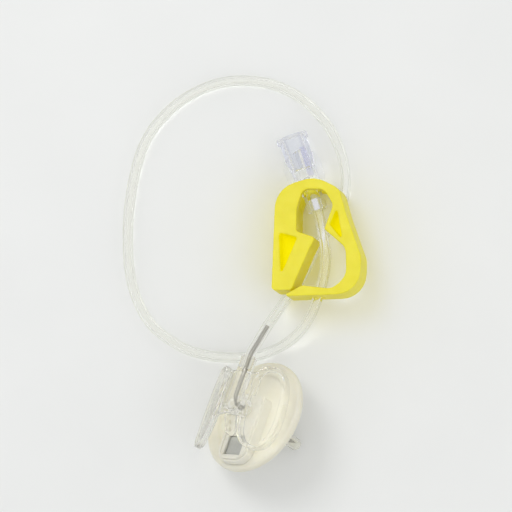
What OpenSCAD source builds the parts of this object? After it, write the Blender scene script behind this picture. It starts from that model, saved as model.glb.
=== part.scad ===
// Non-coring port needle with grip wings, soft base disc, safety clip,
// extension tube, pinch clamp and female luer connector.
// It lies on a flat surface: the disc's rim and the sheath's tip touch it.

/* [Needle] */
// Outside diameter of the steel needle
needle_od = 0.9; // [0.6:0.05:1.2]
// Inside diameter of the steel needle
needle_id = 0.6; // [0.3:0.05:0.8]
// Needle length below the hub
needle_len = 20; // [15:0.5:24]
// Radius of the needle's right-angle bend
needle_bend_r = 2.2; // [1.6:0.1:2.6]
// Length of the steel that runs on past the hub's mouth
needle_tail = 9.3; // [5:0.1:11]
// Downward angle of the steel past the hub's mouth
needle_tail_dip = 14.1; // [0:0.1:18]

/* [Hub] */
// Outside diameter of the hub's barrel
hub_d = 4.1; // [3.6:0.1:5]
// Height of the barrel's axis above the base disc
hub_h = 8.3; // [7.8:0.1:10]
// Distance from the needle's axis to the hub's mouth
hub_reach = 12.1; // [10:0.1:15]
// Diameter of the upright post around the needle
post_d = 5.2; // [4.8:0.1:6]
// Height of the post's lower edge above the base disc
post_z = 4.3; // [4:0.1:5]
// Depth of the socket that holds the tube
hub_socket = 3.5; // [2:0.1:5]

/* [Wings] */
// Length of each wing's oval grip
grip_len = 21; // [16:0.5:24]
// Width of each wing's oval grip
grip_w = 9.8; // [7:0.1:11]
// Distance from the hub's axis to the middle of the grip
grip_out = 9.1; // [8:0.1:12]
// Thickness of a wing
wing_t = 0.9; // [0.6:0.1:1.4]
// Radius of a wing's curved section
wing_curve_r = 37; // [30:1:60]
// Angle by which a wing already slopes down where it leaves the hub
wing_droop = 10; // [5:1:14]
// Width of the raised edge round the grip
grip_rim_w = 0.9; // [0.5:0.1:1.5]
// Height of that edge above the wing's face
grip_rim_h = 0.4; // [0.2:0.1:0.8]
// Wall of the saddle that carries the wings on the hub
saddle_t = 0.65; // [0.5:0.05:1]

/* [Base] */
// Diameter of the soft base disc
disc_d = 28.5; // [24:0.5:34]
// Thickness of the disc's cushioned rim
rim_t = 2.2; // [1.6:0.1:3]
// Width of the cushioned rim
rim_w = 3.4; // [2.4:0.1:5]
// Thickness of the disc's web
web_t = 1; // [0.6:0.1:1.2]
// Diameter of the housing's boss in the disc
boss_d = 6.4; // [5:0.1:8]
// Width of the safety housing
housing_w = 9.6; // [8:0.1:10.4]
// Height of the safety housing above the web
housing_h = 2.6; // [2.4:0.1:3]
// Distance from the needle's axis to the housing's rear end
housing_back = 13; // [12:0.1:13.4]
// Distance from the needle's axis to the housing's blunt front
housing_front = 4.2; // [3.6:0.1:5]
// Wall of the safety housing
housing_wall = 1; // [0.7:0.1:1.2]
// Radius of the housing's rear corners, which leave room for the clip's square end
housing_corner = 3.2; // [2.4:0.1:3.6]
// Thickness of the housing's cover
cover_t = 0.6; // [0.4:0.1:0.8]
// Diameter of the guide neck inside the hub's post
neck_d = 3; // [2.4:0.1:3.4]

/* [Safety clip] */
// Thickness of the clip's spring steel
clip_t = 0.25; // [0.15:0.05:0.35]
// Width of the clip's plate
clip_w = 5.4; // [4:0.1:5.8]
// Length of the clip's upper plate
clip_plate = 4.2; // [3:0.1:5]
// Distance from the needle's axis to the clip's fold
clip_back = 10.7; // [10:0.1:10.9]
// Gap between the clip's two leaves
clip_gap = 0.7; // [0.5:0.05:0.8]

/* [Sheath] */
// Inside diameter of the needle sheath
sheath_id = 2; // [1.6:0.1:2.4]
// Wall of the needle sheath
sheath_wall = 0.5; // [0.3:0.05:0.8]
// Room left between the needle's tip and the sheath's end
sheath_room = 0.5; // [0.3:0.1:2]
// Diameter of the collar at the sheath's mouth
sheath_collar_d = 5; // [4.4:0.1:6]

/* [Tube] */
// Outside diameter of the extension tube
tube_od = 2.5; // [2:0.1:3]

/* [Clamp] */
// Depth of the pinch clamp
clamp_depth = 9.5; // [8:0.5:12]
// Web left between the clamp's blind pockets
clamp_web = 1.6; // [1:0.1:3]
// Width of the slot for the tube in the clamp's lower arm
clamp_slot = 3.1; // [3:0.1:3.6]
// Width of the opening in the clamp's arch
arch_slot_w = 8.7; // [7.6:0.1:9]
// Height of the opening in the clamp's arch
arch_slot_h = 6; // [5.6:0.1:6.4]
// Angle at which the clamp lies over the tube
clamp_lean = 12.7; // [10:0.1:13]

/* [Luer connector] */
// Length of the connector
luer_len = 19.2; // [17:0.1:20]
// Diameter of the connector's rim
luer_rim_d = 6.7; // [6.2:0.1:7]
// Width across the lock's two lugs
luer_lug_d = 7.7; // [7.4:0.1:7.8]
// Width across the connector's grip fins
luer_fin_w = 9.2; // [8:0.1:10]
// Diameter of the connector's tail
luer_tail_d = 4.9; // [4.2:0.1:5.2]
// Depth of the tapered socket
luer_socket = 8.5; // [7.5:0.1:10]
// Diameter of the tapered socket at its mouth
luer_socket_d = 4.28; // [4.2:0.01:4.4]
// Depth of the socket that holds the tube
luer_tube_socket = 6; // [4:0.1:8]

/* [Clearances] */
// Radial gap of a bonded joint
bond_gap = 0.02; // [0.01:0.01:0.04]
// Radial gap round a part that slides
slide_gap = 0.06; // [0.03:0.01:0.1]

/* [Hidden] */

// Heights in the needle's own frame, measured along the needle from the disc's mid-plane
needle_r = needle_od / 2;
disc_r = disc_d / 2;
skin_z = -rim_t / 2;
web_top = web_t / 2;
housing_top = web_top + housing_h;
cover_top = housing_top + cover_t / 2;
neck_top = post_z + 1.4;
tip_z = post_z - needle_len;
guide_r = needle_r + slide_gap;

// The needle's deflected tip, small enough to pass the guide, and the bend past the hub's mouth
tip_bend_r = 30;
tip_angle = 6;
bevel_angle = 20;
elbow_r = 6;
steel_tail = needle_tail - elbow_r * needle_tail_dip * PI / 180;

// Sheath, which ends in a hemisphere
sheath_r = sheath_id / 2 + sheath_wall;
sheath_end = needle_len - post_z + sheath_room + sheath_wall;
spigot_len = 2;

// The disc's rim and the sheath's tip both touch the surface: this angle follows from their sizes
rim_edge_r = 0.9;
rim_arm = disc_r - rim_edge_r;
rim_drop = rim_t / 2 - rim_edge_r;
sheath_arm = sheath_end - sheath_r;
lean = atan2(sheath_arm - rim_drop, rim_arm)
     + asin((sheath_r - rim_edge_r) / norm([rim_arm, sheath_arm - rim_drop]));
rest_z = sheath_arm * cos(lean) + sheath_r;

// Where the needle stands on the surface, and which way it leans and faces
rest_x = 2.4;
rest_y = -4.5;
lean_azimuth = 145;
facing = -67;

// Where the clamp and the connector lie
clamp_pos = [19.1, 36.1, 3.36];
clamp_azimuth = 145;
luer_rim_pos = [11.1, 62.9, 3.4];
luer_azimuth = -70;
luer_rise = 8.2;

// The tube's route: out of the hub, under the clamp, once round, back through the clamp
tube_route = [
    [0, 7.4, 13.7], [1, 10.1, 12.6], [2.5, 12.6, 11.2], [4.1, 15.2, 9.7], [5.3, 17.2, 8.5],
    [6.9, 19.5, 6.1], [8.7, 22, 3.4], [10.7, 24.8, 1.65], [12.7, 27.6, 1.3], [14.6, 30.8, 1.3],
    [17.4, 36.6, 1.3], [20.3, 41, 1.3], [22.7, 45.2, 1.3], [24, 49.5, 1.27], [24.1, 54.5, 1.3],
    [22.5, 60.5, 1.3], [19.1, 66.6, 1.3], [13.1, 72.4, 1.3], [5.1, 75.8, 1.3], [-3.9, 76.2, 1.3],
    [-11.9, 73.6, 1.3], [-18.9, 68.6, 1.3], [-24.1, 61.5, 1.3], [-27.1, 51.5, 1.3], [-28.3, 39.5, 1.3],
    [-27.3, 27.5, 1.3], [-23.3, 18.4, 1.3], [-16.9, 13, 1.3], [-10.4, 10.4, 1.3], [-3.9, 9.6, 1.3],
    [2.6, 10, 1.3], [8.5, 12.2, 1.8], [12.9, 15.6, 3.8], [15.7, 19.8, 6.6], [17.5, 24.4, 8.7],
    [18.7, 28.4, 9.5], [19.3, 32.4, 9], [19.2, 36, 8.1], [18.6, 39.8, 7.4], [17.8, 43.8, 6.7],
    [16.6, 47.7, 6.1]
];
tube_sides = 8;
// The route's point that lies in the slot of the clamp's lower arm
slot_point = 34;

// Points on a circle's arc that rounds corner b, between neighbours a and c
function unit(v) = v / norm(v);
function corner_arc(a, b, c, r, steps) =
    let (u = unit(a - b), v = unit(c - b), half = acos(u * v) / 2,
         mid = b + unit(u + v) * r / sin(half),
         p = b + u * r / tan(half) - mid, q = b + v * r / tan(half) - mid,
         start = atan2(p.y, p.x), sweep = atan2(p.x * q.y - p.y * q.x, p * q))
    [for (i = [0 : steps]) mid + r * [cos(start + sweep * i / steps), sin(start + sweep * i / steps)]];

// A closed outline from corners [x, y, radius]
function rounded(corners, steps = 6) =
    let (n = len(corners), xy = [for (c = corners) [c[0], c[1]]])
    [for (i = [0 : n - 1])
        for (p = corners[i][2] == 0 ? [xy[i]]
             : corner_arc(xy[(i + n - 1) % n], xy[i], xy[(i + 1) % n], corners[i][2], steps)) p];

// An oval with blunt ends: a superellipse
function oval(half_x, half_y, power = 2.5, count = 44) =
    [for (i = [0 : count - 1]) let (a = 360 * i / count)
        [half_x * sign(cos(a)) * pow(abs(cos(a)), 2 / power),
         half_y * sign(sin(a)) * pow(abs(sin(a)), 2 / power)]];

// A smooth curve through the route's points
function blend(a, b, c, d, t) =
    0.5 * (2 * b + (c - a) * t + (2 * a - 5 * b + 4 * c - d) * t * t
           + (3 * b - a - 3 * c + d) * t * t * t);
function smooth(route, steps) =
    let (n = len(route))
    [for (i = [0 : n - 2]) for (s = [0 : steps - 1])
        blend(route[max(i - 1, 0)], route[i], route[i + 1], route[min(i + 2, n - 1)], s / steps),
     route[n - 1]];

// The needle's own frame: +X along the steel's run, +Z back up the needle
module in_needle_frame() {
    translate([rest_x, rest_y, rest_z])
        rotate([0, lean, lean_azimuth]) rotate([0, 0, facing]) children();
}

// Turns a part's +Z onto the barrel's +X, at the barrel's height
module on_barrel(x = 0) {
    translate([x, 0, hub_h]) rotate([0, 90, 0]) children();
}

// Turns a part's +X into the line of the steel past the hub's mouth
module past_mouth() {
    translate([hub_reach, 0, hub_h - elbow_r]) rotate([0, needle_tail_dip, 0])
        translate([0, 0, elbow_r]) rotate([0, 90, 0]) children();
}

// The steel's path as one solid rod of the given radius, its far end longer by the given amount
module steel_path(r, past) {
    straight_end = tip_z + tip_bend_r * sin(tip_angle);
    // Upright shaft
    translate([0, 0, straight_end]) cylinder(h = hub_h - needle_bend_r - straight_end, r = r, $fn = 24);
    // Right-angle bend
    translate([needle_bend_r, 0, hub_h - needle_bend_r]) rotate([90, 0, 0])
        rotate_extrude(angle = 90, start = 90, $fn = 48)
            translate([needle_bend_r, 0]) circle(r = r, $fn = 24);
    // Run through the hub
    on_barrel(needle_bend_r) cylinder(h = hub_reach - needle_bend_r, r = r, $fn = 24);
    // Slight dip past the mouth
    translate([hub_reach, 0, hub_h - elbow_r]) rotate([90, 0, 0])
        rotate_extrude(angle = needle_tail_dip, start = 90 - needle_tail_dip, $fn = 96)
            translate([elbow_r, 0]) circle(r = r, $fn = 24);
    past_mouth() cylinder(h = steel_tail + past, r = r, $fn = 24);
    // Deflected tip
    translate([-tip_bend_r, 0, straight_end]) rotate([90, 0, 0])
        rotate_extrude(angle = tip_angle, start = 360 - tip_angle, $fn = 96)
            translate([tip_bend_r, 0]) circle(r = r, $fn = 24);
}

// Steel needle: bent, hollow, with a non-coring bevel on its deflected tip
module cannula() {
    color("silver") in_needle_frame() difference() {
        steel_path(needle_r, 0);
        steel_path(needle_id / 2, 1);
        // Bevel: the point stays on the wall that the tip's curve brings in line
        translate([needle_r, 0, tip_z]) rotate([0, -bevel_angle, 0])
            translate([-3, -1, -1]) cube([3, 2, 6]);
    }
}

// Rigid clear hub: barrel with a domed end, tube socket, and a post round the needle
module needle_hub() {
    mouth_r = tube_od / 2 + 0.65;
    color("whitesmoke") in_needle_frame() difference() {
        union() {
            on_barrel() rotate_extrude($fn = 64) polygon(rounded([
                [0, -hub_d / 2, 0], [hub_d / 2, -hub_d / 2, hub_d / 2 - 0.01],
                [hub_d / 2, hub_reach - hub_socket - 1.4, 1], [mouth_r, hub_reach - hub_socket, 1],
                [mouth_r, hub_reach, 0.25], [0, hub_reach, 0]], 10));
            translate([0, 0, post_z]) cylinder(h = hub_h - post_z, r1 = post_d / 2,
                                               r2 = hub_d / 2, $fn = 48);
            // Gusset between post and barrel
            translate([0, -0.5, post_z + 1]) rotate([-90, 0, 0])
                linear_extrude(1) polygon([[0, 0], [post_d / 2, 0], [hub_reach - hub_socket - 1.5,
                    -(hub_h - post_z - 1)], [0, -(hub_h - post_z - 1)]]);
        }
        // The steel is bonded into its channel
        translate([0, 0, post_z - 1]) cylinder(h = hub_h - needle_bend_r - post_z + 1.01,
                                               r = needle_r + bond_gap, $fn = 24);
        translate([needle_bend_r, 0, hub_h - needle_bend_r]) rotate([90, 0, 0])
            rotate_extrude(angle = 90, start = 90, $fn = 48)
                translate([needle_bend_r, 0]) circle(r = needle_r + bond_gap, $fn = 24);
        on_barrel(needle_bend_r) cylinder(h = hub_reach, r = needle_r + bond_gap, $fn = 24);
        // Sockets for the tube and for the cover's neck
        on_barrel(hub_reach - hub_socket) cylinder(h = hub_socket + 1, r = tube_od / 2 + bond_gap,
                                                   $fn = 48);
        translate([0, 0, post_z - 1]) cylinder(h = neck_top - post_z + 1 + slide_gap,
                                               r = neck_d / 2 + slide_gap, $fn = 48);
    }
}

// A round-ended bar along the barrel, which the saddle is formed from and hollowed by
module barrel_shell(r, reach) {
    on_barrel() rotate_extrude($fn = 64)
        polygon(rounded([[0, -r, 0], [r, -r, r - 0.01], [r, reach, 0], [0, reach, 0]], 10));
}

// One wing's curved plate, thicker than the wing by the given amount on both faces
module wing_plate(extra) {
    curve_y = hub_d / 2 - wing_curve_r * sin(wing_droop);
    curve_z = hub_h + 0.9 - wing_curve_r * cos(wing_droop);
    translate([-grip_len, 0, 0]) rotate([90, 0, 90]) linear_extrude(grip_len * 2)
        translate([curve_y, curve_z]) intersection() {
            difference() {
                circle(r = wing_curve_r + wing_t / 2 + extra, $fn = 180);
                circle(r = wing_curve_r - wing_t / 2 - extra, $fn = 180);
            }
            square(wing_curve_r * 2);
        }
}

// One wing, on the +Y side: root, oval grip and its raised edge
module wing() {
    turn = -4;
    grip_x = -0.6;
    root_len = grip_len / 2;
    intersection() {
        wing_plate(0);
        union() {
            translate([grip_x, grip_out, 0]) rotate([0, 0, turn])
                linear_extrude(20) polygon(oval(grip_len / 2, grip_w / 2));
            translate([2 - root_len / 2, 0, 0]) linear_extrude(20)
                polygon(rounded([[0, 0, 0], [root_len, 0, 0], [root_len + 1, grip_out, 1],
                                 [-1, grip_out, 1]]));
        }
    }
    intersection() {
        wing_plate(grip_rim_h);
        translate([grip_x, grip_out, 0]) rotate([0, 0, turn]) linear_extrude(20) difference() {
            polygon(oval(grip_len / 2, grip_w / 2));
            polygon(oval(grip_len / 2 - grip_rim_w, grip_w / 2 - grip_rim_w));
        }
    }
    // Two short ribs stiffen the root
    intersection() {
        wing_plate(grip_rim_h);
        for (y = [3.4, 5.4]) translate([2.2, y, 0]) cube([4, 0.5, 20]);
    }
}

// Soft clear moulding: a saddle over the hub, with a wing on each side and a rear tongue
module wings() {
    saddle_r = hub_d / 2 + saddle_t;
    tongue_w = 3.6;
    color("gainsboro") in_needle_frame() difference() {
        union() {
            wing();
            mirror([0, 1, 0]) wing();
            // Saddle, over the upper half of the barrel and its domed end
            intersection() {
                barrel_shell(saddle_r, 7.4);
                translate([-5, -5, hub_h]) cube([15, 10, 5]);
            }
            // Tongue towards the clip, with three small pits
            translate([-1.6, 0, hub_h + 0.6]) rotate([0, -28, 0]) difference() {
                union() {
                    translate([-5, -tongue_w / 2, -0.8]) cube([5, tongue_w, 0.8]);
                    translate([-5, 0, -0.8]) cylinder(h = 0.8, r = tongue_w / 2, $fn = 48);
                }
                for (x = [-1.6, -3.4, -5.2])
                    translate([x, 0, -0.3]) cylinder(h = 1, r = 0.5, $fn = 24);
            }
        }
        barrel_shell(hub_d / 2 + bond_gap, 20);
        // The tongue clears the hub's post
        translate([0, 0, post_z]) cylinder(h = hub_h - post_z, r1 = post_d / 2 + bond_gap,
                                           r2 = hub_d / 2 + bond_gap, $fn = 48);
    }
}

// Soft disc with a thin web and a cushioned rim, recessed where the housing crosses it
module base_disc() {
    rim_in = disc_r - rim_w;
    slope = rim_t / 2 - web_top;
    color("beige") in_needle_frame() difference() {
        rotate_extrude($fn = 120) polygon(rounded([
            [boss_d / 2 + bond_gap, -web_top, 0], [rim_in - slope, -web_top, 0.3],
            [rim_in, skin_z, 0.3], [disc_r, skin_z, rim_edge_r], [disc_r, -skin_z, 1],
            [rim_in, -skin_z, 0.8], [rim_in - slope, web_top, 0.6],
            [boss_d / 2 + bond_gap, web_top, 0]]));
        // Recess in the rim for the housing's rear end
        translate([0, 0, web_top]) linear_extrude(rim_t) intersection() {
            housing_outline(-bond_gap);
            translate([-disc_r, -disc_r]) square([disc_r - rim_in + 1.5 * rim_t, disc_d]);
        }
    }
}

// The safety housing's outline: rounder behind than in front, shrunk by an inset
module housing_outline(inset) {
    half = housing_w / 2 - inset;
    front = housing_front - inset;
    back_r = housing_corner - inset;
    polygon(rounded([[-housing_back + inset, -half, back_r], [front, -half, 1.6],
                     [front, half, 1.6], [-housing_back + inset, half, back_r]], 12));
}

// Housing on the disc: a tray for the clip, a boss through the disc and a spigot below
module safety_housing() {
    floor_t = 0.5;
    color("ivory") in_needle_frame() difference() {
        union() {
            translate([0, 0, web_top]) linear_extrude(housing_h) housing_outline(0);
            translate([0, 0, skin_z]) cylinder(h = web_top - skin_z + 0.01, r = boss_d / 2, $fn = 64);
            translate([0, 0, skin_z - spigot_len])
                cylinder(h = spigot_len + 0.01, r = sheath_id / 2 + 0.5 - slide_gap, $fn = 48);
        }
        // Tray, and the step that the cover sits in
        translate([0, 0, web_top + floor_t]) linear_extrude(housing_h) housing_outline(housing_wall);
        translate([0, 0, housing_top - cover_t / 2])
            linear_extrude(housing_h) housing_outline(housing_wall / 2);
        // Guide for the needle
        translate([0, 0, skin_z - spigot_len - 1]) cylinder(h = 8, r = guide_r, $fn = 32);
    }
}

// Cover over the clip, with the neck that guides the hub's post
module housing_cover() {
    color("whitesmoke") in_needle_frame() difference() {
        union() {
            translate([0, 0, housing_top - cover_t / 2]) linear_extrude(cover_t)
                housing_outline(housing_wall / 2 + bond_gap);
            translate([0, 0, housing_top]) cylinder(h = neck_top - housing_top, r = neck_d / 2, $fn = 48);
            // Low edge that frames the clip
            translate([0, 0, cover_top]) linear_extrude(0.3) difference() {
                housing_outline(housing_wall / 2 + bond_gap);
                housing_outline(housing_wall);
                translate([-4, -10]) square(20);
            }
        }
        translate([0, 0, housing_top - 1]) cylinder(h = 8, r = guide_r, $fn = 32);
    }
}

// Spring-steel clip: a folded leaf whose lower leaf rides on the needle through a hole
module safety_clip() {
    top_z = housing_top - cover_t / 2 - 0.1;
    low_z = top_z - 2 * clip_t - clip_gap;
    fold_r = clip_gap / 2 + clip_t;
    leaf_w = clip_w * 0.55;
    color("darkgray") in_needle_frame() {
        difference() {
            union() {
                // Upper plate, then the narrower tongue that bears on the needle
                translate([-clip_back, -clip_w / 2, top_z - clip_t]) cube([clip_plate, clip_w, clip_t]);
                translate([-clip_back + clip_plate - 0.01, -leaf_w / 2, top_z - clip_t])
                    cube([clip_back - clip_plate - guide_r, leaf_w, clip_t]);
                // Lower leaf
                translate([-clip_back, -clip_w / 2, low_z]) cube([clip_plate, clip_w, clip_t]);
                translate([-clip_back + clip_plate - 0.01, -leaf_w / 2, low_z])
                    cube([clip_back - clip_plate + 2, leaf_w, clip_t]);
                // Fold
                translate([-clip_back, clip_w / 2, low_z + fold_r]) rotate([90, 0, 0])
                    linear_extrude(clip_w) intersection() {
                        difference() {
                            circle(r = fold_r, $fn = 48);
                            circle(r = fold_r - clip_t, $fn = 48);
                        }
                        translate([-2, -2]) square([2.005, 4]);
                    }
            }
            cylinder(h = 5, r = guide_r, $fn = 32);
        }
    }
}

// Clear guard over the needle, pushed onto the housing's spigot
module needle_sheath() {
    mouth_r = sheath_id / 2 + 0.5;
    collar_len = spigot_len + 1;
    color("aliceblue") in_needle_frame() difference() {
        union() {
            translate([0, 0, -sheath_arm]) cylinder(h = sheath_arm + skin_z - slide_gap, r = sheath_r,
                                                    $fn = 48);
            translate([0, 0, -sheath_arm]) sphere(r = sheath_r, $fn = 48);
            translate([0, 0, skin_z - slide_gap - collar_len])
                cylinder(h = collar_len, r = sheath_collar_d / 2, $fn = 48);
            translate([0, 0, skin_z - slide_gap - collar_len - 1.2])
                cylinder(h = 1.2, r1 = sheath_r, r2 = sheath_collar_d / 2, $fn = 48);
        }
        translate([0, 0, tip_z - sheath_room]) cylinder(h = needle_len, r = sheath_id / 2, $fn = 48);
        translate([0, 0, skin_z - spigot_len - slide_gap]) cylinder(h = spigot_len + 1, r = mouth_r,
                                                                   $fn = 48);
    }
}

// Extension tube, swept along its route as one closed solid
module extension_tube() {
    line = smooth(tube_route, 2);
    last = len(line) - 1;
    rings = [for (i = [0 : last])
        let (ahead = unit(line[min(i + 1, last)] - line[max(i - 1, 0)]),
             side = unit(cross(ahead, [0, 0, 1])), up = cross(side, ahead))
        for (k = [0 : tube_sides - 1])
            let (a = 360 * (k + 0.5) / tube_sides)
            line[i] + tube_od / 2 * (cos(a) * side + sin(a) * up)];
    walls = [for (i = [0 : last - 1]) for (k = [0 : tube_sides - 1])
        let (a = i * tube_sides + k, b = i * tube_sides + (k + 1) % tube_sides)
        [a, b, b + tube_sides, a + tube_sides]];
    ends = [[for (k = [tube_sides - 1 : -1 : 0]) k],
            [for (k = [0 : tube_sides - 1]) last * tube_sides + k]];
    color("honeydew") polyhedron(points = rings, faces = concat(walls, ends));
}

// Places children at a point of the tube's route, with +Z along the tube there
module along_tube(i) {
    ahead = unit(tube_route[i + 1] - tube_route[i - 1]);
    translate(tube_route[i]) rotate([0, acos(ahead.z), atan2(ahead.y, ahead.x)]) children();
}

// The clamp's frame: its flat face leans over the tube that passes below
module in_clamp_frame() {
    translate(clamp_pos) rotate([0, 0, clamp_azimuth]) rotate([0, clamp_lean, 0])
        rotate([0, 0, -clamp_azimuth]) children();
}

// The connector's frame: +Z out of the socket's mouth, origin at the rim
module in_luer_frame() {
    translate(luer_rim_pos) rotate([0, 0, luer_azimuth]) rotate([0, -90 - luer_rise, 0]) children();
}

// The clamp's side view: arch, two teeth, latch foot and lower arm
module clamp_outline() {
    polygon(rounded([
        [-11.2, -11.3, 0.8], [-10.5, 13.2, 6.5], [-1, 16.1, 7], [5, 13.1, 3.5], [6.8, 6.8, 8],
        [10.5, -3.4, 5], [10.2, -12.4, 6], [-8.6, -12.8, 0.3], [-3.8, -10.2, 1.5],
        [3.6, -11.1, 3.5], [6.9, -8, 4], [6.7, -1.2, 3], [1.5, 3.3, 0.5], [2.3, 5.6, 2],
        [3.6, 9.2, 2], [1.2, 13, 2.6], [-3.8, 13.1, 2], [-5.3, 8.2, 4], [-5.3, 2.9, 0.7],
        [-0.7, 1.3, 0.6], [-2.2, -1.6, 1], [-6.4, -11.3, 1]]));
}

// Opaque moulded pinch clamp, with blind pockets on both faces
module pinch_clamp() {
    pocket = (clamp_depth - clamp_web) / 2;
    color("gold") difference() {
        in_clamp_frame() difference() {
            linear_extrude(clamp_depth) clamp_outline();
            for (z = [-1, clamp_depth - pocket]) translate([0, 0, z]) linear_extrude(pocket + 1) {
                polygon(rounded([[-9.5, 2.6, 0.5], [-5, 1.4, 0.5], [-9, -7.8, 0.3]]));
                polygon(rounded([[4.5, 8.4, 0.3], [2.8, 4.4, 0.4], [6, 0.5, 0.3]]));
            }
        }
        // Slot in the lower arm, in line with the tube that passes it
        along_tube(slot_point) {
            cylinder(h = 7, r = clamp_slot / 2, center = true, $fn = 48);
            cube([2.4, clamp_slot, 7], center = true);
        }
        // Opening in the arch, in line with the connector
        in_luer_frame() translate([0, 0, -luer_len + 1]) linear_extrude(9)
            polygon(oval(arch_slot_h / 2, arch_slot_w / 2, 3.2));
    }
}

// Clear female luer connector: lock lugs, tapered socket, grip fins and tube socket
module luer_connector() {
    waist_r = 2.9;
    fin_t = 1.3;
    taper = 0.06;
    color("lavender") in_luer_frame() difference() {
        union() {
            // Socket barrel, waist and tail
            rotate_extrude($fn = 72) polygon(rounded([
                [0, 0, 0], [luer_rim_d / 2, 0, 0.3], [luer_rim_d / 2, -5.4, 0.6], [waist_r, -9, 1],
                [waist_r - 0.1, -12.4, 1.2], [luer_tail_d / 2 - 0.1, -14, 1.2],
                [luer_tail_d / 2 - 0.1, -luer_len + 0.9, 0.2], [luer_tail_d / 2, -luer_len + 0.7, 0.2],
                [luer_tail_d / 2, -luer_len, 0.2], [0, -luer_len, 0]]));
            // Lock lugs on the rim
            intersection() {
                translate([0, 0, -1.3]) cylinder(h = 1.3, r = luer_lug_d / 2, $fn = 72);
                cube([3.4, luer_lug_d + 1, 8], center = true);
            }
            // Grip fins, widest in the middle of the barrel
            translate([fin_t / 2, 0, 0]) rotate([0, -90, 0]) linear_extrude(fin_t)
                polygon(rounded([[-4.6, 0, 0], [-5, luer_rim_d / 2 + 0.1, 1], [-7.4, luer_fin_w / 2, 1],
                    [-11.4, luer_fin_w / 2 - 0.1, 1], [-14.6, 3, 1], [-15.6, 0, 0], [-14.6, -3, 1],
                    [-11.4, -luer_fin_w / 2 + 0.1, 1], [-7.4, -luer_fin_w / 2, 1],
                    [-5, -luer_rim_d / 2 - 0.1, 1]]));
            // Fine ribs round the waist
            for (a = [35, 65, 115, 145, 215, 245, 295, 325]) rotate([0, 0, a])
                translate([0, -0.25, -13.6]) cube([luer_rim_d / 2 - 0.25, 0.5, 8]);
        }
        // Tapered socket, lumen and tube socket
        translate([0, 0, -luer_socket]) cylinder(h = luer_socket,
            r1 = (luer_socket_d - luer_socket * taper) / 2, r2 = luer_socket_d / 2, $fn = 48);
        translate([0, 0, -0.01]) cylinder(h = 1, r = luer_socket_d / 2, $fn = 48);
        translate([0, 0, -luer_len + 1]) cylinder(h = luer_len, r = 0.65, $fn = 32);
        translate([0, 0, -luer_len - 1]) cylinder(h = luer_tube_socket + 1,
                                                  r = tube_od / 2 + bond_gap, $fn = 48);
    }
}

cannula();
needle_hub();
wings();
base_disc();
safety_housing();
housing_cover();
safety_clip();
needle_sheath();
extension_tube();
pinch_clamp();
luer_connector();
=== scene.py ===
import math

import bmesh
import bpy
from mathutils import Matrix, Vector


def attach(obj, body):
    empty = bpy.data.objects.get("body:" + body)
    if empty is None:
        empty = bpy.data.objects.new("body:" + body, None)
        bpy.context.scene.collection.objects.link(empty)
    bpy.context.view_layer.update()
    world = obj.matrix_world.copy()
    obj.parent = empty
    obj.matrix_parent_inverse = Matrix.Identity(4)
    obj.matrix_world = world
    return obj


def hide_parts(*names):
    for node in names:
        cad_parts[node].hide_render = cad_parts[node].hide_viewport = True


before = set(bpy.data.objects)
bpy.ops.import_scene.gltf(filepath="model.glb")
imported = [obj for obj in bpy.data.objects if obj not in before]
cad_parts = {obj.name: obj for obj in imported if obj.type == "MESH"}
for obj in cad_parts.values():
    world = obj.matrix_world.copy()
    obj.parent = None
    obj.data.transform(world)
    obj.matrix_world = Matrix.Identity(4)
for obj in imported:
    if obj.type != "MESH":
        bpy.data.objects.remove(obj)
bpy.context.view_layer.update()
scene = bpy.context.scene
MM = 0.001


# Camera: straight down, image up = +Y, at the photograph's scale

PIXELS, MM_PER_PIXEL = 512, 0.24
LENS, SENSOR = 400, 36
LOOK_AT = (2.6, 34.1, 8)

field = PIXELS * MM_PER_PIXEL * MM
look_x, look_y, look_z = (c * MM for c in LOOK_AT)
camera_data = bpy.data.cameras.new("camera")
camera_data.lens, camera_data.sensor_width = LENS, SENSOR
camera_data.clip_start, camera_data.clip_end = 0.05, 10
camera = bpy.data.objects.new("camera", camera_data)
camera.location = (look_x, look_y, look_z + field / 2 * LENS / (SENSOR / 2))
scene.collection.objects.link(camera)
scene.camera = camera
scene.view_settings.view_transform = "Standard"


# Objects and meshes

def link(obj):
    scene.collection.objects.link(obj)
    return obj


def new_object(name, mesh, body, smooth=True):
    """A new piece from a mesh in the part's frame, riding on a CAD body."""
    if smooth:
        mesh.shade_smooth()
    obj = link(bpy.data.objects.new(name, mesh))
    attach(obj, body)
    return obj


def node_mesh(name):
    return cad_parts[name].data.copy()


def evaluated(obj):
    """The mesh that an object's modifiers make."""
    depsgraph = bpy.context.evaluated_depsgraph_get()
    return bpy.data.meshes.new_from_object(obj.evaluated_get(depsgraph))


def rounded(mesh, voxel, rounds):
    """The mesh, voxel-remeshed in millimetres and smoothed, so that its edges come out rounded."""
    mesh.transform(Matrix.Scale(1 / MM, 4))
    work = link(bpy.data.objects.new("work", mesh))
    remesh = work.modifiers.new("remesh", "REMESH")
    remesh.mode, remesh.voxel_size = "VOXEL", voxel
    relax = work.modifiers.new("relax", "SMOOTH")
    relax.factor, relax.iterations = 0.5, rounds
    out = evaluated(work)
    out.transform(Matrix.Scale(MM, 4))
    out.shade_smooth()
    bpy.data.objects.remove(work)
    return out


def mesh_of(build):
    """A mesh that build(bm) fills, in metres."""
    bm = bmesh.new()
    build(bm)
    bmesh.ops.recalc_face_normals(bm, faces=bm.faces)
    mesh = bpy.data.meshes.new("mesh")
    bm.to_mesh(mesh)
    bm.free()
    return mesh


def joined(*meshes):
    """Several meshes as one, so that a voxel remesh makes one solid of them."""
    bm = bmesh.new()
    for mesh in meshes:
        bm.from_mesh(mesh)
    out = bpy.data.meshes.new("joined")
    bm.to_mesh(out)
    bm.free()
    return out


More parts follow.
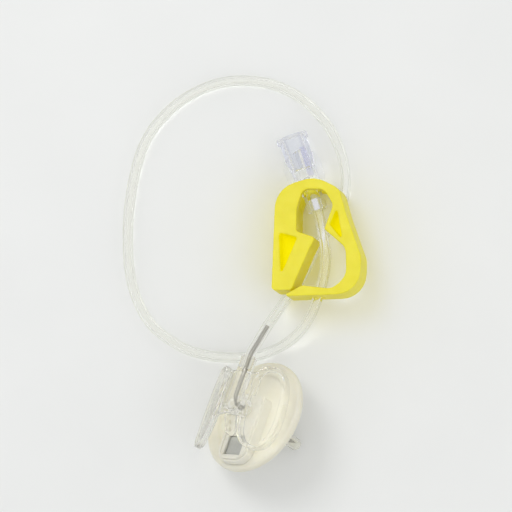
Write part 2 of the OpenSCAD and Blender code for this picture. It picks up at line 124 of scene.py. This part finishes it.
def carved(mesh, cutters):
    """The mesh with each cutter's volume taken out."""
    base = link(bpy.data.objects.new("carve", mesh))
    made = []
    for cutter in cutters:
        tool = link(bpy.data.objects.new("cutter", cutter))
        made.append(tool)
        cut = base.modifiers.new("cut", "BOOLEAN")
        cut.operation, cut.solver, cut.object = "DIFFERENCE", "EXACT", tool
    out = evaluated(base)
    for obj in [base, *made]:
        bpy.data.objects.remove(obj)
    return out


# Placing, in millimetres and degrees

def at(x, y, z):
    return Matrix.Translation(Vector((x, y, z)) * MM)


def turned(degrees, axis):
    return Matrix.Rotation(math.radians(degrees), 4, axis)


# The needle's own frame: +X along the steel's run, +Z back up the needle
NEEDLE = at(2.4, -4.5, 11.2616) @ turned(145, "Z") @ turned(50.0432, "Y") @ turned(-67, "Z")

# The clamp's frame, which leans by 12.7 degrees, and its connector's: +Z out of the socket's mouth
CLAMP = at(19.1, 36.1, 3.36) @ turned(145, "Z") @ turned(12.7, "Y") @ turned(-145, "Z")
LUER = at(11.1, 62.9, 3.4) @ turned(-70, "Z") @ turned(-98.2, "Y")


# Solids, each in millimetres in a matrix's frame

LATHE_STEPS = 64
ON_AXIS = 1e-6


def vert(bm, matrix, x, y, z):
    return bm.verts.new(matrix @ (Vector((x, y, z)) * MM))


def walls(bm, a, b):
    """Joins two closed loops of vertices with a ring of faces."""
    for k in range(len(a)):
        n = (k + 1) % len(a)
        bm.faces.new((a[k], a[n], b[n], b[k]))


def capped(bm, a, b):
    """A closed solid between two loops of vertices."""
    bm.faces.new(a)
    bm.faces.new(b)
    walls(bm, a, b)


def prism(bm, outline, low, high, matrix):
    """A closed solid from an outline (x, y) between two heights."""
    capped(bm, *[[vert(bm, matrix, x, y, z) for x, y in outline] for z in (low, high)])


def lathe(bm, profile, matrix):
    """A closed solid turned round the matrix's own Z from profile points (radius, z)."""
    turns = [2 * math.pi * k / LATHE_STEPS for k in range(LATHE_STEPS)]
    rings = []
    for r, z in profile:
        if r < ON_AXIS:
            rings.append([vert(bm, matrix, 0, 0, z)])
        else:
            rings.append([vert(bm, matrix, r * math.cos(t), r * math.sin(t), z) for t in turns])
    for a, b in zip(rings, rings[1:]):
        for k in range(LATHE_STEPS):
            n = (k + 1) % LATHE_STEPS
            quad = [a[k % len(a)], a[n % len(a)], b[n % len(b)], b[k % len(b)]]
            bm.faces.new(list(dict.fromkeys(quad)))


def dome(r, angles):
    """Profile points (radius, z) on a ball, at angles in degrees above its equator."""
    return [(r * math.cos(math.radians(a)), r * math.sin(math.radians(a))) for a in angles]


# Materials

# Most of a noise texture's values lie between these two
NOISE_SPAN = (0.3, 0.7)


class Nodes:
    """Short ways to add and join shader nodes in one material."""

    def __init__(self, name):
        self.material = bpy.data.materials.new(name)
        self.material.use_nodes = True
        self.tree = self.material.node_tree
        self.tree.nodes.clear()
        self.place = self.add("ShaderNodeTexCoord").outputs["Object"]

    def add(self, kind, **settings):
        node = self.tree.nodes.new(kind)
        for key, value in settings.items():
            setattr(node, key, value)
        return node

    def join(self, a, b):
        self.tree.links.new(a, b)

    def noise(self, scale, detail=3, stretch=None):
        """A noise texture in object space; scale is per metre, stretch scales each axis first."""
        node = self.add("ShaderNodeTexNoise")
        node.inputs["Scale"].default_value = scale
        node.inputs["Detail"].default_value = detail
        source = self.place
        if stretch is not None:
            mapping = self.add("ShaderNodeMapping")
            mapping.inputs["Scale"].default_value = stretch
            self.join(self.place, mapping.inputs["Vector"])
            source = mapping.outputs["Vector"]
        self.join(source, node.inputs["Vector"])
        return node.outputs["Fac"]

    def spread(self, value, low, high):
        """Maps a noise onto low to high."""
        node = self.add("ShaderNodeMapRange")
        for socket, number in (("From Min", NOISE_SPAN[0]), ("From Max", NOISE_SPAN[1]),
                               ("To Min", low), ("To Max", high)):
            node.inputs[socket].default_value = number
        self.join(value, node.inputs["Value"])
        return node.outputs["Result"]

    def tint(self, value, a, b, span=NOISE_SPAN):
        """A colour that runs from a to b as the value runs through the span."""
        node = self.add("ShaderNodeValToRGB")
        for stop, color, position in zip(node.color_ramp.elements, (a, b), span):
            stop.color, stop.position = (*color, 1), position
        self.join(value, node.inputs["Fac"])
        return node.outputs["Color"]

    def bump(self, value, strength, distance, normal=None):
        node = self.add("ShaderNodeBump")
        node.inputs["Strength"].default_value = strength
        node.inputs["Distance"].default_value = distance
        self.join(value, node.inputs["Height"])
        if normal is not None:
            self.join(normal, node.inputs["Normal"])
        return node.outputs["Normal"]

    def shader(self, color, roughness, normal=None, **inputs):
        """The main shader: each of the first three is a value or another node's output."""
        node = self.add("ShaderNodeBsdfPrincipled")
        for socket, value in (("Base Color", color), ("Roughness", roughness), ("Normal", normal)):
            if isinstance(value, bpy.types.NodeSocket):
                self.join(value, node.inputs[socket])
            elif value is not None:
                node.inputs[socket].default_value = value
        for name, value in inputs.items():
            node.inputs[name.replace("_", " ")].default_value = value
        return node.outputs["BSDF"]

    def mix(self, share, a, b):
        """Shader a, with a share of shader b that is a number or another node's output."""
        node = self.add("ShaderNodeMixShader")
        if isinstance(share, bpy.types.NodeSocket):
            self.join(share, node.inputs["Fac"])
        else:
            node.inputs["Fac"].default_value = share
        self.join(a, node.inputs[1])
        self.join(b, node.inputs[2])
        return node.outputs["Shader"]

    def done(self, shader):
        self.join(shader, self.add("ShaderNodeOutputMaterial").inputs["Surface"])
        return self.material


def painted_edge_shade(n, inner, outer):
    """Painted shade: a colour that turns from inner to outer where the surface turns away from the eye.
    """
    facing = n.add("ShaderNodeLayerWeight")
    facing.inputs["Blend"].default_value = 0.5
    return n.tint(facing.outputs["Facing"], inner, outer, (0.1, 1))


def lit_through(n, shader, tone):
    """Lets light of the given tone through a piece, so that its shadow is as pale as the real one's."""
    light = n.add("ShaderNodeLightPath")
    veil = n.add("ShaderNodeBsdfTransparent")
    veil.inputs["Color"].default_value = (*tone, 1)
    return n.mix(light.outputs["Is Shadow Ray"], shader, veil.outputs["BSDF"])


SKINS_CROSSED = 5
ROOM_LIGHT = 0.8


def settled(n, shader, tone):
    """Past a number of skins, takes the light as the room's, so that nested clear parts don't go dark."""
    light = n.add("ShaderNodeLightPath")
    deep = n.add("ShaderNodeMath", operation="GREATER_THAN")
    deep.inputs[1].default_value = SKINS_CROSSED
    n.join(light.outputs["Ray Depth"], deep.inputs[0])
    room = n.add("ShaderNodeEmission")
    room.inputs["Color"].default_value = (*[ROOM_LIGHT * c for c in tone], 1)
    return n.mix(deep.outputs["Value"], shader, room.outputs["Emission"])


CLEAR_SHADOW = 0.94
MILK = (0.9, 0.9, 0.89, 1)


def clear(name, inner, outer, rough=(0.05, 0.12), wave=0.06, ior=1.26, haze=0.0):
    """Clear tinted plastic, darker at its edges by painted shade, with an uneven skin and a share of
    white haze.
    """
    n = Nodes(name)
    big, small = n.noise(125, 2), n.noise(2000)
    normal = n.bump(small, 0.05, 0.00003, n.bump(big, wave, 0.0004))
    glass = n.shader(painted_edge_shade(n, inner, outer), n.spread(n.noise(500), *rough), normal,
                     Transmission_Weight=1.0, IOR=ior, Specular_IOR_Level=0.5)
    milk = n.add("ShaderNodeBsdfDiffuse")
    milk.inputs["Color"].default_value = MILK
    skin = settled(n, n.mix(haze, glass, milk.outputs["BSDF"]), inner)
    return n.done(lit_through(n, skin, [CLEAR_SHADOW * c for c in inner]))


def moulded(name, a, b, rough, soft=0.0, radius=(1, 0.9, 0.6), veil=0.0, through=0.0, **more):
    """Milky moulded plastic: its shadow lets a share veil of the light by, and it takes a share
    through of its light from behind."""
    n = Nodes(name)
    color = n.tint(n.noise(260), a, b)
    normal = n.bump(n.noise(2500), 0.15, 0.00005, n.bump(n.noise(300, 2), 0.15, 0.0004))
    shader = n.shader(color, n.spread(n.noise(700), *rough), normal, Subsurface_Weight=soft,
                      Subsurface_Radius=radius, Subsurface_Scale=0.0012, **more)
    behind = n.add("ShaderNodeBsdfTranslucent")
    n.join(color, behind.inputs["Color"])
    skin = n.mix(through, shader, behind.outputs["BSDF"])
    return n.done(lit_through(n, skin, [veil * c for c in b]))


def steel(name, color, rough, along, metallic):
    """Drawn steel: fine scratches along one direction and a cloudy polish."""
    n = Nodes(name)
    lines = n.noise(1500, 4, along)
    tone = n.tint(lines, [c * 0.82 for c in color], [min(1, c * 1.12) for c in color])
    shader = n.shader(tone, n.spread(n.noise(900), *rough), n.bump(lines, 0.2, 0.00002),
                      Metallic=metallic)
    return n.done(shader)


MATERIALS = {
    "needle_steel": steel("needle_steel", (0.40, 0.39, 0.36), (0.3, 0.5), (6, 6, 0.5), 0.9),
    "clip_steel": steel("clip_steel", (0.50, 0.505, 0.47), (0.5, 0.62), (0.5, 6, 6), 0.25),
    "clear_plastic": clear("clear_plastic", (0.965, 0.96, 0.925), (0.84, 0.83, 0.76)),
    "clear_soft": clear("clear_soft", (0.98, 0.978, 0.955), (0.74, 0.73, 0.64), (0.12, 0.22),
                        haze=0.06),
    "cream_soft": moulded("cream_soft", (0.725, 0.70, 0.585), (0.765, 0.745, 0.63), (0.45, 0.6),
                          soft=0.25, veil=0.25, Specular_IOR_Level=0.3),
    "cream_plastic": moulded("cream_plastic", (0.745, 0.725, 0.63), (0.78, 0.765, 0.675),
                             (0.35, 0.5), soft=0.15, veil=0.25, Specular_IOR_Level=0.35),
    "tube_plastic": clear("tube_plastic", (0.985, 0.985, 0.97), (0.84, 0.85, 0.80), wave=0.05,
                          ior=1.14, haze=0.02),
    "clamp_yellow": moulded("clamp_yellow", (0.84, 0.765, 0.040), (0.89, 0.82, 0.060),
                            (0.38, 0.52), soft=0.15, radius=(1, 0.8, 0.1), veil=0.9,
                            through=0.15, Specular_IOR_Level=0.3),
    "connector_violet": clear("connector_violet", (0.945, 0.95, 0.965), (0.62, 0.64, 0.77),
                              ior=1.2),
}
# Painted light: the pockets' deeper yellow and glow stand for light bounced in and let through them
CLAMP_POCKET_GLOW = moulded("clamp_pocket_glow", (0.84, 0.79, 0.003), (0.87, 0.82, 0.004), (0.6, 0.7),
                       veil=0.9, through=0.2, Specular_IOR_Level=0.05,
                       Emission_Color=(0.8, 0.74, 0.0, 1), Emission_Strength=0.24)
# Painted shade: the tongue's pits are tinted darker than the wings around them
PIT_SHADE = clear("tongue_pit_shade", (0.70, 0.68, 0.58), (0.60, 0.58, 0.48), (0.2, 0.3))
CONNECTOR_FIN = clear("connector_fin", (0.68, 0.68, 0.90), (0.50, 0.49, 0.78), ior=1.15)


def finish_with(obj, slot_name):
    """Gives a piece its material and, to a new one, the record's slot of that name."""
    obj.data.materials.clear()
    obj.data.materials.append(MATERIALS[slot_name])
    return obj


def mark_faces(obj, matrix, material, inside):
    """A second material for the faces whose middle, in the matrix's frame in mm, is inside."""
    back = matrix.inverted()
    obj.data.materials.append(material)
    for face in obj.data.polygons:
        if inside(*(back @ face.center / MM)):
            face.material_index = 1


# Extension tube: hollow, along the part's own route

ROUTE = [
    (0.0, 7.4, 13.7), (1.0, 10.1, 12.6), (2.5, 12.6, 11.2), (4.1, 15.2, 9.7), (5.3, 17.2, 8.5),
    (6.9, 19.5, 6.1), (8.7, 22, 3.4), (10.7, 24.8, 1.65), (12.7, 27.6, 1.3), (14.6, 30.8, 1.3),
    (17.4, 36.6, 1.3), (20.3, 41, 1.3), (22.7, 45.2, 1.3), (24, 49.5, 1.27), (24.1, 54.5, 1.3),
    (22.5, 60.5, 1.3), (19.1, 66.6, 1.3), (13.1, 72.4, 1.3), (5.1, 75.8, 1.3), (-3.9, 76.2, 1.3),
    (-11.9, 73.6, 1.3), (-18.9, 68.6, 1.3), (-24.1, 61.5, 1.3), (-27.1, 51.5, 1.3),
    (-28.3, 39.5, 1.3), (-27.3, 27.5, 1.3), (-23.3, 18.4, 1.3), (-16.9, 13, 1.3),
    (-10.4, 10.4, 1.3), (-3.9, 9.6, 1.3), (2.6, 10, 1.3), (8.5, 12.2, 1.8), (12.9, 15.6, 3.8),
    (15.7, 19.8, 6.6), (17.5, 24.4, 8.7), (18.7, 28.4, 9.5), (19.3, 32.4, 9), (19.2, 36, 8.1),
    (18.6, 39.8, 7.4), (17.8, 43.8, 6.7), (16.6, 47.7, 6.1),
]
TUBE_R, LUMEN_R = 1.25, 0.62
TUBE_SIDES = 32


def smooth_line(points, steps):
    """A Catmull-Rom curve through the points."""
    p = [Vector(q) for q in points]
    out = []
    for i in range(len(p) - 1):
        a, b, c, d = p[max(i - 1, 0)], p[i], p[i + 1], p[min(i + 2, len(p) - 1)]
        for s in range(steps):
            t = s / steps
            out.append(0.5 * (2 * b + (c - a) * t + (2 * a - 5 * b + 4 * c - d) * t * t
                              + (3 * b - a - 3 * c + d) * t ** 3))
    return [*out, p[-1]]


def hollow_tube(bm, line):
    """The tube and its lumen along a line in millimetres, closed by a ring at each end."""
    turns = [2 * math.pi * k / TUBE_SIDES for k in range(TUBE_SIDES)]
    rings, up = [], Vector((0, 0, 1))
    for i, p in enumerate(line):
        ahead = (line[min(i + 1, len(line) - 1)] - line[max(i - 1, 0)]).normalized()
        up = (up - ahead * up.dot(ahead)).normalized()
        side = ahead.cross(up)
        rings.append([[bm.verts.new((p + r * (math.cos(t) * side + math.sin(t) * up)) * MM)
                       for t in turns] for r in (TUBE_R, LUMEN_R)])
    for a, b in zip(rings, rings[1:]):
        for skin in (0, 1):
            walls(bm, a[skin], b[skin])
    for outer, inner in (rings[0], rings[-1]):
        walls(bm, outer, inner)


tube_line = smooth_line(ROUTE, 5)
tube = new_object("tube", mesh_of(lambda bm: hollow_tube(bm, tube_line)), "hub")
finish_with(tube, "tube_plastic")
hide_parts("extension_tube")


# Clamp: the part's own shape with rounded, moulded edges; its pockets glow a deeper yellow as painted
# light

POCKETS = [[(-9.8, 2.9), (-4.7, 1.6), (-9.1, -8.3)], [(4.4, 8.9), (2.5, 4.4), (6.3, 0.1)]]
POCKET_DEPTHS = [(0.25, 4.3), (5.2, 9.25)]


def in_triangle(x, y, corners):
    turns = [(b[0] - a[0]) * (y - a[1]) - (b[1] - a[1]) * (x - a[0])
             for a, b in zip(corners, [*corners[1:], corners[0]])]
    return all(t > 0 for t in turns) or all(t < 0 for t in turns)


def in_pocket(x, y, z):
    return (any(low < z < high for low, high in POCKET_DEPTHS)
            and any(in_triangle(x, y, corners) for corners in POCKETS))


clamp = new_object("clamp", rounded(node_mesh("pinch_clamp"), 0.17, 5), "hub")
finish_with(clamp, "clamp_yellow")
mark_faces(clamp, CLAMP, CLAMP_POCKET_GLOW, in_pocket)
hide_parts("pinch_clamp")


# Connector: the part's own shape, rounded, with a shorter pair of fins between its two wide
# ones; the outer part of one short fin is tinted

SHORT_FIN = LUER @ turned(-62, "Z")
FIN_PLANE = SHORT_FIN @ turned(-90, "Y")
FIN_OUTLINE = [(-3.9, 0), (-4.3, 3.3), (-4.9, 3.75), (-8.2, 3.75), (-9.2, 3.5), (-10.6, 2.8),
               (-10.8, 0), (-10.6, -2.8), (-9.2, -3.5), (-8.2, -3.75), (-4.9, -3.75),
               (-4.3, -3.3)]
FIN_HALF = 0.65


def on_tinted_fin(x, y, z):
    return -11 < z < -3.7 and abs(x) < FIN_HALF + 0.2 and y > 2.75


fins = mesh_of(lambda bm: prism(bm, FIN_OUTLINE, -FIN_HALF, FIN_HALF, FIN_PLANE))
connector_mesh = rounded(joined(node_mesh("luer_connector"), fins), 0.11, 3)
connector = new_object("connector", connector_mesh, "hub")
finish_with(connector, "connector_violet")
mark_faces(connector, SHORT_FIN, CONNECTOR_FIN, on_tinted_fin)
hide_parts("luer_connector")


# Hub: a clear barrel that encloses the steel, on a post with a gusset between them. The post has
# a bore for the cover's neck, and the mouth a socket that the tube fills without an air gap.

HUB_R, HUB_H, REACH, MOUTH_R = 2.05, 8.3, 12.1, 1.9
BARREL = NEEDLE @ Matrix.Translation((0, 0, HUB_H * MM)) @ turned(90, "Y")
BARREL_PROFILE = [
    (0, -HUB_R), *dome(HUB_R, [-86 + 86 * i / 12 for i in range(13)]), (HUB_R, REACH - 5),
    (MOUTH_R, REACH - 3.4), (MOUTH_R, REACH - 0.25), (MOUTH_R - 0.25, REACH), (0, REACH),
]
POST_PROFILE = [(0, 4.3), (2.45, 4.3), (2.6, 4.45), (HUB_R, HUB_H), (0, HUB_H)]
GUSSET = [(0, 5.3), (2.6, 5.3), (REACH - 5, HUB_H), (0, HUB_H)]
GUSSET_HALF = 0.5
POST_BORE = [(0, 3), (1.56, 3), (1.56, 5.76), (0, 5.76)]
TUBE_SOCKET = [(0, REACH - 3.5), (1.14, REACH - 3.5), (1.14, REACH + 1), (0, REACH + 1)]


def hub_solid(bm):
    lathe(bm, BARREL_PROFILE, BARREL)
    lathe(bm, POST_PROFILE, NEEDLE)
    capped(bm, *[[vert(bm, NEEDLE, x, y, z) for x, z in GUSSET] for y in (-GUSSET_HALF, GUSSET_HALF)])


sockets = [mesh_of(lambda bm: lathe(bm, POST_BORE, NEEDLE)),
           mesh_of(lambda bm: lathe(bm, TUBE_SOCKET, BARREL))]
hub_mesh = carved(rounded(mesh_of(hub_solid), 0.09, 5), sockets)
hub = new_object("hub_clear", hub_mesh, "hub", smooth=False)
finish_with(hub, "clear_plastic")
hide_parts("needle_hub")


# Wings: the part's own shape as a soft moulding, lined so that no air gap shows over the hub.
# The left wing hangs lower than the right one.

LINING_RADII = (1.93, 2.35)
LINING_END = 7.3
LINING_STEPS = 32
HANG, HANG_EASE = 10, 1.6
ROOT_Y, ROOT_Z = 2.05, 9.2
TONGUE = NEEDLE @ at(-1.6, 0, 8.9) @ turned(-28, "Y")
PITS_AT, PIT_R = (-1.6, -3.4, -5.2), 0.5


def saddle_lining(bm):
    """Half a shell round the barrel's upper side, from just inside its skin to inside the saddle."""
    turns = [math.pi * k / LINING_STEPS for k in range(LINING_STEPS + 1)]
    inner, outer = [
        [[vert(bm, BARREL, -c * math.cos(t), c * math.sin(t), z)
          for c, z in [*dome(r, range(-88, 1, 8)), (r, LINING_END)]] for t in turns]
        for r in LINING_RADII]
    last = len(inner[0]) - 1
    for k in range(LINING_STEPS):
        for i in range(last):
            for skin in (inner, outer):
                bm.faces.new((skin[k][i], skin[k][i + 1], skin[k + 1][i + 1], skin[k + 1][i]))
        for i in (0, last):
            bm.faces.new((inner[k][i], inner[k + 1][i], outer[k + 1][i], outer[k][i]))
    for k in (0, LINING_STEPS):
        for i in range(last):
            bm.faces.new((inner[k][i], inner[k][i + 1], outer[k][i + 1], outer[k][i]))


def hang_left_wing(mesh):
    """Turns the left wing down about its root, eased in over a few millimetres."""
    back = NEEDLE.inverted()
    for v in mesh.vertices:
        p = back @ v.co / MM
        share = min(max((p.y - ROOT_Y) / HANG_EASE, 0), 1)
        a = -math.radians(HANG) * share * share * (3 - 2 * share)
        y, z = p.y - ROOT_Y, p.z - ROOT_Z
        p.y = ROOT_Y + y * math.cos(a) - z * math.sin(a)
        p.z = ROOT_Z + y * math.sin(a) + z * math.cos(a)
        v.co = NEEDLE @ (p * MM)


def in_pit(x, y, z):
    return -0.55 < z < -0.1 and any(math.hypot(x - pit, y) < PIT_R for pit in PITS_AT)


wing_mesh = rounded(joined(node_mesh("wings"), mesh_of(saddle_lining)), 0.12, 5)
wings = new_object("wings_soft", wing_mesh, "hub")
hang_left_wing(wings.data)
finish_with(wings, "clear_soft")
# The tongue's pits get the painted shade.
mark_faces(wings, TONGUE, PIT_SHADE, in_pit)
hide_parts("wings")


# Cover: the part's own shape with a window over the clip's plate

WINDOW = [(-11.35, -2.75), (-6.45, -2.75), (-6.45, 2.75), (-11.35, 2.75)]
WINDOW_LOW, WINDOW_HIGH = 2.5, 4.5
window = mesh_of(lambda bm: prism(bm, WINDOW, WINDOW_LOW, WINDOW_HIGH, NEEDLE))
cover_mesh = carved(node_mesh("housing_cover"), [window])
cover = new_object("clip_cover", cover_mesh, "base", smooth=False)
finish_with(cover, "cream_plastic")
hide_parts("housing_cover")


# Parts that keep their CAD shape

for node, slot in (("cannula", "needle_steel"), ("base_disc", "cream_soft"),
                   ("safety_housing", "cream_plastic"), ("safety_clip", "clip_steel"),
                   ("needle_sheath", "clear_plastic")):
    finish_with(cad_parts[node], slot)


# Floor, studio light and background

FLOOR_HALF = 1.5
LAMPS_AIM = (0, 0.03, 0)
# How bright the surroundings are as light, against how bright they look
SURROUNDINGS_LIGHT, SURROUNDINGS_LOOK = 0.78, 1.0


def floor_material():
    n = Nodes("floor")
    color = n.tint(n.noise(40, 2), (0.80, 0.81, 0.80), (0.815, 0.825, 0.815))
    return n.done(n.shader(color, 0.7))


def lamp(name, place, size, watts):
    data = bpy.data.lights.new(name, "AREA")
    data.shape, data.size, data.energy = "DISK", size, watts
    obj = link(bpy.data.objects.new(name, data))
    obj.location = place
    obj.rotation_mode = "QUATERNION"
    obj.rotation_quaternion = (Vector(LAMPS_AIM) - Vector(place)).to_track_quat("-Z", "Y")


floor_mesh = mesh_of(
    lambda bm: bmesh.ops.create_grid(bm, x_segments=1, y_segments=1, size=FLOOR_HALF))
floor = link(bpy.data.objects.new("floor", floor_mesh))
floor_mesh.materials.append(floor_material())

lamp("key", (-0.22, 0.30, 0.55), 0.26, 0.95)
lamp("fill", (0.40, -0.10, 0.45), 0.40, 0.35)

world = bpy.data.worlds.new("studio")
scene.world = world
world.use_nodes = True
tree = world.node_tree
tree.nodes.clear()
rays = tree.nodes.new("ShaderNodeLightPath")
seen = rays.outputs["Is Camera Ray"]
for kind in ("Is Glossy Ray", "Is Transmission Ray"):
    either = tree.nodes.new("ShaderNodeMath")
    either.operation = "MAXIMUM"
    tree.links.new(seen, either.inputs[0])
    tree.links.new(rays.outputs[kind], either.inputs[1])
    seen = either.outputs[0]
level = tree.nodes.new("ShaderNodeMapRange")
level.inputs["To Min"].default_value = SURROUNDINGS_LIGHT
level.inputs["To Max"].default_value = SURROUNDINGS_LOOK
tree.links.new(seen, level.inputs["Value"])
background = tree.nodes.new("ShaderNodeBackground")
background.inputs["Color"].default_value = (1, 1, 1, 1)
tree.links.new(level.outputs["Result"], background.inputs["Strength"])
output = tree.nodes.new("ShaderNodeOutputWorld")
tree.links.new(background.outputs["Background"], output.inputs["Surface"])
